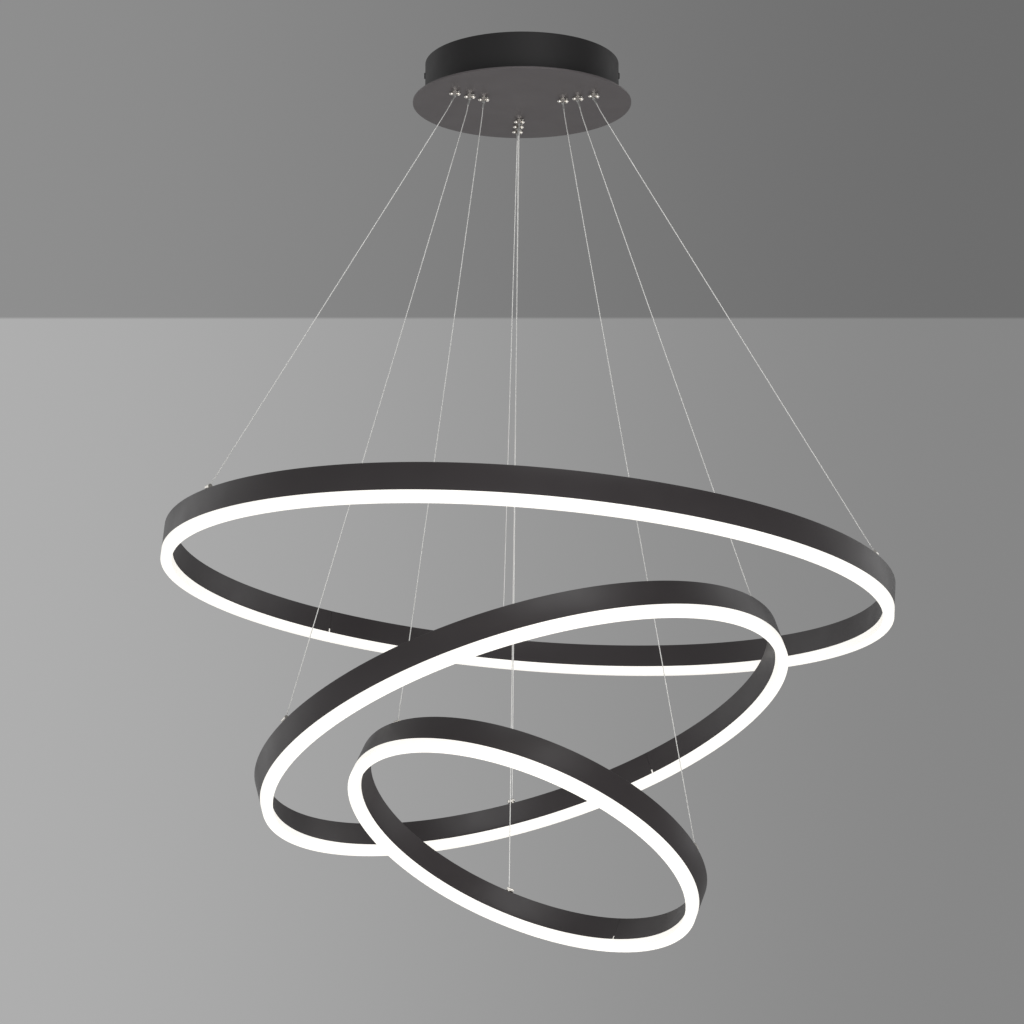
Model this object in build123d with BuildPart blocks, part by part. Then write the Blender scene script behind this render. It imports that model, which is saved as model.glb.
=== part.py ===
"""Three LED rings of falling size, each hung by three steel wires from one round ceiling canopy.

Frame: +Z up, millimetres, origin on the ceiling at the canopy's centre, so that the whole lamp lies
below Z = 0. The rings hang tilted, because the three wires of each ring differ in length.
"""
from build123d import *
import os
from math import atan2, cos, degrees, pi, radians, sin, sqrt

os.makedirs("parts", exist_ok=True)

# --- Rings: outer diameter, drop of the ring's centre below the ceiling, shift of that centre from
# --- the canopy's axis, tilt of the ring's plane and the azimuth towards which its axis leans.
ring_1_diameter = 800.0
ring_1_drop = 602.5
ring_1_shift_x = 4.5
ring_1_shift_y = 1.0
ring_1_tilt = 8.9
ring_1_lean = 58.0
ring_2_diameter = 600.0
ring_2_drop = 759.5
ring_2_shift_x = 5.0
ring_2_shift_y = 22.5
ring_2_tilt = 25.0
ring_2_lean = 131.2
ring_3_diameter = 400.0
ring_3_drop = 878.5
ring_3_shift_x = -0.5
ring_3_shift_y = -20.0
ring_3_tilt = 34.1
ring_3_lean = 49.9

# --- Three rows of grippers, how far each ring is turned from them, and where each ring's seam lies.
row_left = 213.2
row_right = 333.2
row_far = 93.2
ring_1_turn = 1.2
ring_2_turn = -1.7
ring_3_turn = 4.9
ring_1_seam = 128.8
ring_2_seam = 56.2
ring_3_seam = 54.4

# --- Ring section: an extruded aluminium profile, open below, with a closed wiring duct above.
section_width = 12.0
profile_height = 27.0
profile_wall = 1.4
profile_top_wall = 2.0
channel_depth = 9.0
web_thickness = 1.4
profile_corner = 0.6
seam_gap = 0.3
notch_width = 2.4
notch_height = 4.6

# --- Diffuser: it stands proud below the profile and plugs into the channel with a neck.
diffuser_drop = 10.0
diffuser_neck = 5.0
diffuser_side = 1.2
diffuser_floor = 1.5
diffuser_clearance = 0.2
diffuser_corner = 0.8

# --- LED tape on the underside of the web.
tape_width = 8.0
tape_thickness = 0.3
chip_pitch = 26.0
chip_length = 2.8
chip_width = 3.5
chip_height = 0.8

# --- Seam joiner in the duct, and the grub screws that hold it and clamp the wires.
splice_length = 60.0
splice_clearance = 0.1
splice_screw_near = 8.0
splice_screw_far = 22.0
grub_diameter = 3.0
grub_length = 4.5
grub_socket = 1.5
grub_socket_depth = 1.5
thread_clearance = 0.03

# --- Wire anchors on each ring: a riveted shank in an insulating bush, with a cross barrel on top.
anchor_shank = 3.6
anchor_collar = 5.0
anchor_collar_height = 1.2
anchor_rivet = 5.6
anchor_rivet_height = 1.2
anchor_barrel = 4.8
anchor_barrel_length = 8.0
anchor_barrel_shift = 1.4
anchor_axis_height = 4.5
anchor_bush_wall = 0.8
anchor_bush_flange = 7.4
anchor_bush_flange_height = 1.0
bush_clearance = 0.05

# --- Suspension wires.
wire_diameter = 1.0
wire_bore = 1.2
wire_bend = 6.0
wire_tail = 4.0

# --- Feed leads inside each ring.
feed_diameter = 1.6
feed_hole = 2.6
feed_run = 26.0
feed_bend = 2.4
feed_height = 6.0

# --- Canopy: a drum against the ceiling and a wider flat plate that closes it from below.
drum_diameter = 220.0
canopy_height = 46.0
drum_sheet = 1.2
flange_width = 10.0
plate_overhang = 14.0
plate_thickness = 2.0
plate_edge = 0.3
m4_diameter = 4.0
m4_nut_across = 7.0
m4_nut_height = 3.2
m4_spare = 1.5
m3_diameter = 3.0
m3_nut_across = 5.5
m3_nut_height = 2.4
m3_spare = 1.0
hole_clearance = 0.25
plate_stud_count = 4
plate_stud_azimuth = 40.0

# --- Ceiling bracket, and the two screws through the drum's side that carry the canopy.
bracket_width = 24.0
bracket_thickness = 2.0
bracket_bend = 2.0
bracket_tab_height = 22.0
bracket_gap = 0.3
slot_spacing = 100.0
slot_length = 20.0
slot_width = 5.0
cable_hole_diameter = 12.0
cable_hole_x = 24.0
side_screw_length = 8.0
side_screw_head = 7.0
side_screw_head_height = 1.2
side_screw_slot = 1.2
side_screw_drop = 12.0

# --- Grippers: a hollow stem through the plate, a cross barrel, a lock knob and a soft sleeve.
gripper_rim = 20.5
gripper_spacing_outer = 19.5
gripper_spacing_inner = 18.5
gripper_drop = 3.2
stem_collar = 5.2
spigot_diameter = 2.4
spigot_clearance = 0.1
stem_bush_wall = 0.8
stem_bush_flange = 9.0
stem_bush_flange_height = 1.0
block_width = 3.4
block_height = 4.2
nose_length = 4.4
nose_radius = 2.2
nose_tip = 0.8
nose_waist = 1.5
tommy_hole = 1.4
knob_length = 4.2
knob_radius = 2.7
knob_tip = 1.1
knob_gap = 0.4
knob_shank = 2.0
knob_bore_clearance = 0.05
knob_flutes = 10
flute_radius = 0.4
sleeve_head = 3.4
sleeve_head_drop = 0.9
sleeve_diameter = 2.3
sleeve_bore = 1.7
sleeve_length = 7.5

# --- Drivers, one per ring, between the rows of grippers.
driver_length = 84.0
driver_width = 38.0
driver_height = 24.0
driver_rim = 23.0
driver_corner = 2.0
driver_ear_length = 10.0
driver_ear_width = 20.0
driver_ear_thickness = 2.0

# --- Terminal block in the middle of the canopy.
block_x = 36.0
block_y = 28.0
block_z = 16.0
block_shift_y = -2.0
block_corner = 1.0
block_ear_length = 10.0
block_ear_width = 10.0
block_ear_thickness = 3.0
port_depth = 5.0
port_clearance = 0.15
port_radius = 8.0
supply_pitch = 9.0
supply_bore = 3.4
supply_depth = 9.0
supply_screw = 3.2
supply_screw_length = 5.0
supply_screw_inset = 4.0
supply_screw_slot = 0.6

# --- Leads in the canopy.
lead_diameter = 2.0
lead_pair_pitch = 5.0
lead_bend = 4.0
lead_rise = 9.0
lead_stand = 11.0
lead_entry_height = 10.0
output_diameter = 1.8
output_height = 8.0
output_shift = 10.0
output_run = 8.0
output_bend = 3.0
lug_diameter = 8.0
lug_thickness = 0.8
lug_barrel = 4.5
lug_straight = 8.0
earth_rise = 13.0
earth_reach = 14.0

# --- Levels and radii that follow from the sizes above.
plate_low = -canopy_height
plate_top = plate_low + plate_thickness
drum_radius = drum_diameter / 2
plate_radius = drum_radius + plate_overhang
drum_inner = drum_radius - drum_sheet
plate_stud_radius = drum_inner - flange_width / 2
gripper_1_radius = drum_radius - gripper_rim
gripper_2_radius = gripper_1_radius - gripper_spacing_outer
gripper_3_radius = gripper_2_radius - gripper_spacing_inner
driver_radius = drum_radius - driver_rim - driver_width / 2
driver_face = driver_radius - driver_width / 2
lead_reach = driver_face - lead_stand
seat_level = plate_top + stem_bush_flange_height
block_top = plate_top + block_z
barrel_level = plate_low - gripper_drop
sleeve_level = barrel_level - block_height / 2 - sleeve_head_drop
stem_top = seat_level + lug_thickness + m4_nut_height + m4_spare
inner_width = section_width - 2 * profile_wall
web_top = channel_depth + web_thickness
duct_top = profile_height - profile_top_wall
rivet_top = duct_top - anchor_bush_flange_height
barrel_height = profile_height + anchor_axis_height
grub_bore = grub_diameter + 2 * thread_clearance

row_azimuths = {"left": row_left, "right": row_right, "far": row_far}


def polar(radius, azimuth, height):
    """A point about the canopy's axis."""
    return Vector(radius * cos(radians(azimuth)), radius * sin(radians(azimuth)), height)


class Ring:
    """One ring's place: its own frame lies in the plane of the profile's lower edge."""

    def __init__(self, number, diameter, drop, shift, tilt, lean, turn, seam, gripper_radius, live_rows):
        self.number = number
        self.radius = diameter / 2
        self.middle = diameter / 2 - section_width / 2
        self.centre = Vector(shift[0], shift[1], -drop)
        self.up = polar(sin(radians(tilt)), lean, cos(radians(tilt)))
        self.along = (Vector(1, 0, 0) - self.up * self.up.X).normalized()
        self.axis = Axis(self.centre, self.up)
        self.turn = turn
        self.seam = seam
        self.gripper_radius = gripper_radius
        self.live_rows = live_rows

    def outward(self, azimuth):
        """Direction away from the ring's axis at an azimuth in the ring's own plane."""
        across = self.up.cross(self.along)
        return self.along * cos(radians(azimuth)) + across * sin(radians(azimuth))

    def point(self, radius, azimuth, height):
        """A point given by its radius, azimuth and height above the profile's lower edge."""
        return self.centre + self.outward(azimuth) * radius + self.up * height

    def place(self, radius, azimuth, height):
        """A plane at such a point: X points outwards and Z is square to the ring."""
        return Plane(self.point(radius, azimuth, height), x_dir=self.outward(azimuth), z_dir=self.up)

    def section(self, azimuth):
        """The plane of the ring's section: X is the radius and Y the height."""
        outward = self.outward(azimuth)
        return Plane(self.centre, x_dir=outward, z_dir=outward.cross(self.up))

    def angle(self, length):
        """The angle that a length along the ring's middle circle spans."""
        return degrees(length / self.middle)

    def anchor(self, row):
        """Azimuth of a row's wire anchor on the ring."""
        return row_azimuths[row] + self.turn

    def hold(self, row):
        """Where a wire ends: the middle of its anchor's barrel."""
        return self.point(self.middle, self.anchor(row), barrel_height)

    def gripper(self, row, level):
        """A point on the axis of a row's gripper."""
        return polar(self.gripper_radius, row_azimuths[row], level)

    def pull(self, row):
        """Direction of a wire, from its sleeve down to its anchor."""
        return (self.hold(row) - self.gripper(row, sleeve_level)).normalized()

    def screw_side(self, row):
        """Direction along an anchor's barrel to its screw, away from the side the wire leans to."""
        tangent = self.up.cross(self.outward(self.anchor(row)))
        return tangent if self.pull(row).dot(tangent) > 0 else -tangent


rings = [
    Ring(1, ring_1_diameter, ring_1_drop, (ring_1_shift_x, ring_1_shift_y), ring_1_tilt,
         ring_1_lean, ring_1_turn, ring_1_seam, gripper_1_radius, ("right", "far")),
    Ring(2, ring_2_diameter, ring_2_drop, (ring_2_shift_x, ring_2_shift_y), ring_2_tilt,
         ring_2_lean, ring_2_turn, ring_2_seam, gripper_2_radius, ("far", "left")),
    Ring(3, ring_3_diameter, ring_3_drop, (ring_3_shift_x, ring_3_shift_y), ring_3_tilt,
         ring_3_lean, ring_3_turn, ring_3_seam, gripper_3_radius, ("left", "right")),
]
wire_ends = [(ring, row) for ring in rings for row in row_azimuths]


def driver_azimuth(ring):
    """A ring's driver stands halfway between the two rows that it feeds."""
    middle = ring.gripper(ring.live_rows[0], 0) + ring.gripper(ring.live_rows[1], 0)
    return degrees(atan2(middle.Y, middle.X))


def flat(points):
    """The same points without their height, for a level sketch."""
    return [(point.X, point.Y) for point in points]


def save(piece, name):
    """Label a finished piece and write it under its node name."""
    piece.part.label = name
    export_step(piece.part, f"parts/{name}.step")


def tube(route, diameter, bend):
    """Add a round lead or wire to the current part, along a route of points with rounded bends."""
    with BuildLine(mode=Mode.PRIVATE) as centreline:
        FilletPolyline(*route, radius=bend)
    path = centreline.wire()
    with BuildSketch(Plane(path @ 0, z_dir=path % 0), mode=Mode.PRIVATE) as section:
        Circle(diameter / 2)
    sweep(sections=section.sketch, path=path)
    return path.length


def drill(start, direction, diameter, depth):
    """Cut a round hole out of the current part, from a point along a direction."""
    with BuildSketch(Plane(start, z_dir=direction), mode=Mode.PRIVATE) as hole:
        Circle(diameter / 2)
    extrude(hole.sketch, amount=depth, mode=Mode.SUBTRACT)


# ---------------------------------------------------------------- canopy
plate_studs = [
    polar(plate_stud_radius, plate_stud_azimuth + 360 / plate_stud_count * step, plate_top)
    for step in range(plate_stud_count)
]
ear_reach = driver_length / 2 + driver_ear_length / 2
driver_studs = [
    polar(driver_radius, driver_azimuth(ring), plate_top) + polar(side * ear_reach, driver_azimuth(ring) + 90, 0)
    for ring in rings for side in (-1, 1)
]
block_ear_reach = block_x / 2 + block_ear_length / 2
block_studs = [Vector(side * block_ear_reach, block_shift_y, plate_top) for side in (-1, 1)]
stem_bush_diameter = m4_diameter + 2 * bush_clearance + 2 * stem_bush_wall

with BuildPart() as canopy_plate:
    with BuildSketch(Plane.XY.offset(plate_low)):
        Circle(plate_radius)
        with Locations(*flat([ring.gripper(row, 0) for ring, row in wire_ends])):
            Circle(stem_bush_diameter / 2 + bush_clearance, mode=Mode.SUBTRACT)
    extrude(amount=plate_thickness)
    chamfer(canopy_plate.edges().filter_by(GeomType.CIRCLE).group_by(SortBy.RADIUS)[-1], length=plate_edge)
    with BuildSketch(Plane.XY.offset(plate_top)):
        with Locations(*flat(plate_studs)):
            Circle(m4_diameter / 2)
    extrude(amount=drum_sheet + m4_nut_height + m4_spare)
    with BuildSketch(Plane.XY.offset(plate_top)):
        with Locations(*flat(driver_studs + block_studs)):
            Circle(m3_diameter / 2)
    extrude(amount=block_ear_thickness + m3_nut_height + m3_spare)
save(canopy_plate, "canopy_plate")

with BuildPart() as canopy_drum:
    with BuildSketch(Plane.XY.offset(plate_top)):
        Circle(drum_radius)
        Circle(drum_inner, mode=Mode.SUBTRACT)
    extrude(amount=-plate_top)
    with BuildSketch(Plane.XY.offset(plate_top)):
        Circle(drum_inner)
        Circle(drum_inner - flange_width, mode=Mode.SUBTRACT)
        with Locations(*flat(plate_studs)):
            Circle(m4_diameter / 2 + hole_clearance, mode=Mode.SUBTRACT)
    extrude(amount=drum_sheet)
    for side in (-1, 1):
        start = Vector(side * (drum_inner - drum_sheet), 0, -side_screw_drop)
        drill(start, Vector(side, 0, 0), m4_diameter + 2 * hole_clearance, 3 * drum_sheet)
save(canopy_drum, "canopy_drum")

# The bracket's tabs lie just inside the drum, whose wall curves away from their corners.
tab_face = sqrt(drum_inner ** 2 - (bracket_width / 2) ** 2) - bracket_gap
with BuildPart() as ceiling_bracket:
    with BuildSketch(Plane.XZ):
        with Locations((0, -bracket_tab_height / 2)):
            outer = Rectangle(2 * tab_face, bracket_tab_height)
        fillet(outer.vertices().group_by(Axis.Z)[-1], radius=bracket_bend + bracket_thickness)
        with BuildSketch(Plane.XZ, mode=Mode.SUBTRACT):
            with Locations((0, -bracket_thickness - bracket_tab_height / 2)):
                inner = Rectangle(2 * (tab_face - bracket_thickness), bracket_tab_height)
            fillet(inner.vertices().group_by(Axis.Z)[-1], radius=bracket_bend)
    extrude(amount=bracket_width / 2, both=True)
    with BuildSketch():
        with Locations((-slot_spacing / 2, 0), (slot_spacing / 2, 0)):
            SlotOverall(slot_length, slot_width)
        with Locations((cable_hole_x, 0)):
            Circle(cable_hole_diameter / 2)
    extrude(amount=-bracket_thickness, mode=Mode.SUBTRACT)
    for side in (-1, 1):
        start = Vector(side * (tab_face - 2 * bracket_thickness), 0, -side_screw_drop)
        drill(start, Vector(side, 0, 0), m4_diameter + 2 * thread_clearance, 3 * bracket_thickness)
save(ceiling_bracket, "ceiling_bracket")

with BuildPart() as side_screws:
    for side in (-1, 1):
        seat = Plane((side * drum_radius, 0, -side_screw_drop), z_dir=(side, 0, 0))
        with BuildSketch(seat):
            Circle(side_screw_head / 2)
        extrude(amount=side_screw_head_height)
        with BuildSketch(seat):
            Circle(m4_diameter / 2)
        extrude(amount=-side_screw_length)
    head_face = drum_radius + side_screw_head_height
    rims = side_screws.edges().filter_by(GeomType.CIRCLE)
    fillet([rim for rim in rims if abs(rim.center().X) > head_face - side_screw_slot],
           radius=side_screw_head_height / 2)
    with Locations((-head_face, 0, -side_screw_drop), (head_face, 0, -side_screw_drop)):
        Box(side_screw_head_height, side_screw_head, side_screw_slot, mode=Mode.SUBTRACT)
save(side_screws, "side_screws")

# ---------------------------------------------------------------- drivers and terminal block
for ring in rings:
    azimuth = driver_azimuth(ring)
    base = Plane(polar(driver_radius, azimuth, plate_top), x_dir=polar(1, azimuth, 0))
    with BuildPart() as led_driver:
        with BuildSketch(base):
            Rectangle(driver_width, driver_length)
        extrude(amount=driver_height)
        fillet(led_driver.edges().filter_by(Axis.Z), radius=driver_corner)
        fillet(led_driver.faces().sort_by(Axis.Z)[-1].edges(), radius=driver_corner / 2)
        with BuildSketch(base):
            Rectangle(driver_ear_width, driver_length + 2 * driver_ear_length)
            with Locations((0, -ear_reach), (0, ear_reach)):
                Circle(m3_diameter / 2 + hole_clearance, mode=Mode.SUBTRACT)
        extrude(amount=driver_ear_thickness)
    save(led_driver, f"led_driver_{ring.number}")

mains_pairs = [
    (driver_azimuth(ring), polar(side * lead_pair_pitch / 2, driver_azimuth(ring) + 90, 0))
    for ring in rings for side in (-1, 1)
]
supply_face = block_shift_y - block_y / 2
supply_steps = [-supply_pitch, 0, supply_pitch]
with BuildPart() as terminal_block:
    with BuildSketch(Plane.XY.offset(plate_top)):
        with Locations((0, block_shift_y)):
            Rectangle(block_x, block_y)
    extrude(amount=block_z)
    fillet(terminal_block.edges().filter_by(Axis.Z), radius=block_corner)
    with BuildSketch(Plane.XY.offset(plate_top)):
        with Locations((0, block_shift_y)):
            Rectangle(block_x + 2 * block_ear_length, block_ear_width)
        with Locations(*flat(block_studs)):
            Circle(m3_diameter / 2 + hole_clearance, mode=Mode.SUBTRACT)
    extrude(amount=block_ear_thickness)
    with BuildSketch(Plane.XY.offset(block_top)):
        with Locations((0, 0), *flat([polar(port_radius, azimuth, 0) + aside for azimuth, aside in mains_pairs])):
            Circle(lead_diameter / 2 + port_clearance)
    extrude(amount=-port_depth, mode=Mode.SUBTRACT)
    for step in supply_steps:
        drill(Vector(step, supply_face, plate_top + block_z / 2), Vector(0, 1, 0), supply_bore, supply_depth)
        drill(Vector(step, supply_face + supply_screw_inset, block_top), Vector(0, 0, -1),
              supply_screw + 2 * thread_clearance, block_z / 2)
save(terminal_block, "terminal_block")

with BuildPart() as terminal_screws:
    with BuildSketch(Plane.XY.offset(block_top)):
        with Locations(*[(step, supply_face + supply_screw_inset) for step in supply_steps]):
            Circle(supply_screw / 2)
    extrude(amount=-supply_screw_length)
    with Locations(*[(step, supply_face + supply_screw_inset, block_top) for step in supply_steps]):
        Box(supply_screw, supply_screw_slot, 2 * supply_screw_slot, mode=Mode.SUBTRACT)
save(terminal_screws, "terminal_screws")

with BuildPart() as m3_nuts:
    ears = [(stud, driver_ear_thickness) for stud in driver_studs]
    ears += [(stud, block_ear_thickness) for stud in block_studs]
    for stud, ear in ears:
        with BuildSketch(Plane((stud.X, stud.Y, plate_top + ear))):
            RegularPolygon(m3_nut_across / 2, 6, major_radius=False)
            Circle(m3_diameter / 2 + thread_clearance, mode=Mode.SUBTRACT)
        extrude(amount=m3_nut_height)
save(m3_nuts, "m3_nuts")

# ---------------------------------------------------------------- leads in the canopy
with BuildPart() as mains_leads:
    crest = block_top + lead_rise
    entry = plate_top + lead_entry_height
    for azimuth, aside in mains_pairs:
        route = [
            polar(port_radius, azimuth, block_top - port_depth) + aside,
            polar(port_radius, azimuth, crest) + aside,
            polar(lead_reach, azimuth, crest) + aside,
            polar(lead_reach, azimuth, entry) + aside,
            polar(driver_face, azimuth, entry) + aside,
        ]
        tube(route, lead_diameter, lead_bend)
save(mains_leads, "mains_leads")

with BuildPart() as earth_lead:
    route = [
        (0, 0, block_top - port_depth),
        (0, 0, block_top + earth_rise),
        (earth_reach, 0, block_top + earth_rise),
        (earth_reach, 0, -bracket_thickness),
    ]
    tube(route, lead_diameter, lead_bend)
save(earth_lead, "earth_lead")

with BuildPart() as output_leads:
    for ring in rings:
        azimuth = driver_azimuth(ring)
        exit_point = polar(driver_radius - output_shift, azimuth, plate_top + output_height)
        for row in ring.live_rows:
            stem = ring.gripper(row, seat_level)
            aside = polar(1, azimuth + 90, 0)
            along = aside if stem.dot(aside) > 0 else -aside
            knee = exit_point + along * (driver_length / 2 + output_run)
            towards = Vector(knee.X - stem.X, knee.Y - stem.Y, 0).normalized()
            lug_end = stem + towards * lug_barrel + Vector(0, 0, output_diameter / 2)
            route = [
                exit_point + along * (driver_length / 2),
                knee,
                lug_end + towards * lug_straight,
                lug_end,
            ]
            tube(route, output_diameter, output_bend)
            with BuildSketch(Plane(stem, x_dir=towards)):
                Circle(lug_diameter / 2)
                with Locations((lug_barrel / 2 + output_diameter / 2, 0)):
                    Rectangle(lug_barrel + output_diameter, 2 * output_diameter)
                Circle(m4_diameter / 2 + thread_clearance, mode=Mode.SUBTRACT)
            extrude(amount=lug_thickness)
save(output_leads, "output_leads")

# ---------------------------------------------------------------- grippers
block_half = block_height / 2
spigot_length = block_half - knob_shank / 2 - spigot_clearance
stem_length = stem_top - barrel_level
with BuildPart() as one_stem:
    with BuildSketch(Plane.XY.offset(block_half)):
        Circle(stem_collar / 2)
    extrude(amount=gripper_drop - block_half)
    with BuildSketch(Plane.XY.offset(gripper_drop)):
        Circle(m4_diameter / 2)
    extrude(amount=stem_length - gripper_drop)
    with BuildSketch(Plane.XY.offset(block_half)):
        Circle(spigot_diameter / 2)
    extrude(amount=-spigot_length)
    drill(Vector(0, 0, 0), Vector(0, 0, 1), wire_bore, stem_length)

nose_start = -block_width / 2 - nose_length
with BuildPart() as one_body:
    with BuildSketch(Plane.XZ):
        with BuildLine():
            crown = ThreePointArc(
                (nose_start, nose_tip),
                (nose_start + nose_length / 2, nose_radius),
                (-block_width / 2, nose_waist),
            )
            Polyline(crown @ 1, (-block_width / 2, 0), (nose_start, 0), crown @ 0)
        make_face()
    revolve(axis=Axis.X)
    Box(block_width, block_height, block_height)
    drill(Vector(nose_start + nose_length / 2, -2 * nose_radius, 0), Vector(0, 1, 0),
          tommy_hole, 4 * nose_radius)
    drill(Vector(0, 0, block_half), Vector(0, 0, -1), spigot_diameter + 2 * thread_clearance,
          spigot_length + thread_clearance)
    drill(Vector(0, 0, block_half), Vector(0, 0, -1), wire_bore, block_height)
    drill(Vector(block_width / 2, 0, 0), Vector(-1, 0, 0), knob_shank + 2 * knob_bore_clearance,
          block_width / 2)
    with Locations((0, 0, -block_half - sleeve_head_drop)):
        Sphere(sleeve_head / 2 + bush_clearance, mode=Mode.SUBTRACT)

knob_start = block_width / 2 + knob_gap
with BuildPart() as one_knob:
    with BuildSketch(Plane.XZ):
        with BuildLine():
            Polyline(
                (wire_bore / 2, 0),
                (wire_bore / 2, knob_shank / 2),
                (knob_start, knob_shank / 2),
                (knob_start, knob_tip),
                (knob_start + knob_length / 3, knob_radius),
                (knob_start + knob_length * 2 / 3, knob_radius),
                (knob_start + knob_length, knob_tip),
                (knob_start + knob_length, 0),
                close=True,
            )
        make_face()
    revolve(axis=Axis.X)
    with BuildSketch(Plane.YZ.offset(knob_start)):
        with PolarLocations(knob_radius, knob_flutes):
            Circle(flute_radius)
    extrude(amount=knob_length, mode=Mode.SUBTRACT)
    drill(Vector(knob_start + knob_length / 2, -2 * knob_radius, 0), Vector(0, 1, 0), tommy_hole,
          4 * knob_radius)

with BuildPart() as gripper_stems:
    with Locations(*[ring.gripper(row, barrel_level) for ring, row in wire_ends]):
        add(one_stem.part)
save(gripper_stems, "gripper_stems")

with BuildPart() as gripper_bodies:
    with Locations(*[ring.gripper(row, barrel_level) for ring, row in wire_ends]):
        add(one_body.part)
save(gripper_bodies, "gripper_bodies")

for ring, row in wire_ends:
    with BuildPart() as lock_knob:
        with Locations(ring.gripper(row, barrel_level)):
            add(one_knob.part)
    save(lock_knob, f"lock_knob_{ring.number}_{row}")

with BuildPart() as stem_bushes:
    for level, rise, diameter in (
        (plate_low, plate_thickness, stem_bush_diameter),
        (plate_top, stem_bush_flange_height, stem_bush_flange),
    ):
        with BuildSketch(Plane.XY.offset(level)):
            with Locations(*flat([ring.gripper(row, 0) for ring, row in wire_ends])):
                Circle(diameter / 2)
                Circle(m4_diameter / 2 + bush_clearance, mode=Mode.SUBTRACT)
        extrude(amount=rise)
save(stem_bushes, "stem_bushes")

# A live stem has a lug of its lead under the nut; the plate's studs have the drum's flange there.
with BuildPart() as m4_nuts:
    seats = [ring.gripper(row, seat_level + (lug_thickness if row in ring.live_rows else 0))
             for ring, row in wire_ends]
    seats += [stud + Vector(0, 0, drum_sheet) for stud in plate_studs]
    for seat in seats:
        with BuildSketch(Plane(seat)):
            RegularPolygon(m4_nut_across / 2, 6, major_radius=False)
            Circle(m4_diameter / 2 + thread_clearance, mode=Mode.SUBTRACT)
        extrude(amount=m4_nut_height)
save(m4_nuts, "m4_nuts")

# ---------------------------------------------------------------- sleeves and wires
with BuildPart() as wire_sleeves:
    for ring, row in wire_ends:
        head = ring.gripper(row, sleeve_level)
        with Locations(head):
            Sphere(sleeve_head / 2)
        with BuildSketch(Plane(head, z_dir=ring.pull(row))):
            Circle(sleeve_diameter / 2)
        extrude(amount=sleeve_length)
    for ring, row in wire_ends:
        head = ring.gripper(row, sleeve_level)
        with Locations(head):
            Sphere(sleeve_bore / 2, mode=Mode.SUBTRACT)
        drill(head, ring.pull(row), sleeve_bore, sleeve_length)
        drill(head, Vector(0, 0, 1), sleeve_bore, sleeve_head)
save(wire_sleeves, "wire_sleeves")

for ring, row in wire_ends:
    route = [
        ring.gripper(row, stem_top + wire_tail),
        ring.gripper(row, sleeve_level),
        ring.hold(row),
    ]
    with BuildPart() as wire:
        length = tube(route, wire_diameter, wire_bend)
    save(wire, f"wire_{ring.number}_{row}")
    print(f"wire_{ring.number}_{row}: length {length:.1f} mm, bend radius {wire_bend:.1f} mm")

# ---------------------------------------------------------------- rings
with BuildPart() as one_grub:
    with BuildSketch():
        Circle(grub_diameter / 2)
    extrude(amount=-grub_length)
    with BuildSketch():
        RegularPolygon(grub_socket / 2, 6, major_radius=False)
    extrude(amount=-grub_socket_depth, mode=Mode.SUBTRACT)

anchor_bush = anchor_shank + 2 * bush_clearance + 2 * anchor_bush_wall
splice_offsets = [-splice_screw_far, -splice_screw_near, splice_screw_near, splice_screw_far]


def build_profile(ring, splice_screws, feed_holes):
    """The aluminium ring, cut once at its seam."""
    with BuildPart() as profile:
        with BuildSketch(ring.section(ring.seam + ring.angle(seam_gap) / 2)):
            with Locations((ring.middle, profile_height / 2)):
                outline = Rectangle(section_width, profile_height)
            fillet(outline.vertices().group_by(Axis.Y)[-1], radius=profile_corner)
            with Locations((ring.middle, channel_depth / 2)):
                Rectangle(inner_width, channel_depth, mode=Mode.SUBTRACT)
            with Locations((ring.middle, (web_top + duct_top) / 2)):
                Rectangle(inner_width, duct_top - web_top, mode=Mode.SUBTRACT)
        revolve(axis=ring.axis, revolution_arc=360 - ring.angle(seam_gap))
        # A notch in the inner wall at the seam lets a sliver of the lit diffuser show.
        inner_wall = ring.radius - section_width + profile_wall / 2
        with Locations(ring.place(inner_wall, ring.seam, notch_height / 2)):
            Box(2 * profile_wall, notch_width, notch_height, mode=Mode.SUBTRACT)
        for row in row_azimuths:
            drill(ring.point(ring.middle, ring.anchor(row), profile_height), -ring.up,
                  anchor_bush + 2 * bush_clearance, profile_top_wall)
        for azimuth in splice_screws:
            drill(ring.point(ring.middle, azimuth, profile_height), -ring.up, grub_bore, profile_top_wall)
        for azimuth in feed_holes:
            drill(ring.point(ring.middle, azimuth, web_top), -ring.up, feed_hole, web_thickness)
    save(profile, f"profile_{ring.number}")


def build_diffuser(ring):
    """The opal ring below the profile: hollow, open above, with a neck in the channel."""
    neck_width = inner_width - 2 * diffuser_clearance
    hollow_height = diffuser_drop - diffuser_floor + diffuser_neck
    with BuildPart() as diffuser:
        with BuildSketch(ring.section(ring.seam)):
            with Locations((ring.middle, -diffuser_drop / 2)):
                outline = Rectangle(section_width, diffuser_drop)
            fillet(outline.vertices().group_by(Axis.Y)[0], radius=diffuser_corner)
            with Locations((ring.middle, diffuser_neck / 2)):
                Rectangle(neck_width, diffuser_neck)
            with Locations((ring.middle, diffuser_neck - hollow_height / 2)):
                Rectangle(neck_width - 2 * diffuser_side, hollow_height, mode=Mode.SUBTRACT)
        revolve(axis=ring.axis)
    save(diffuser, f"diffuser_{ring.number}")


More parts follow.
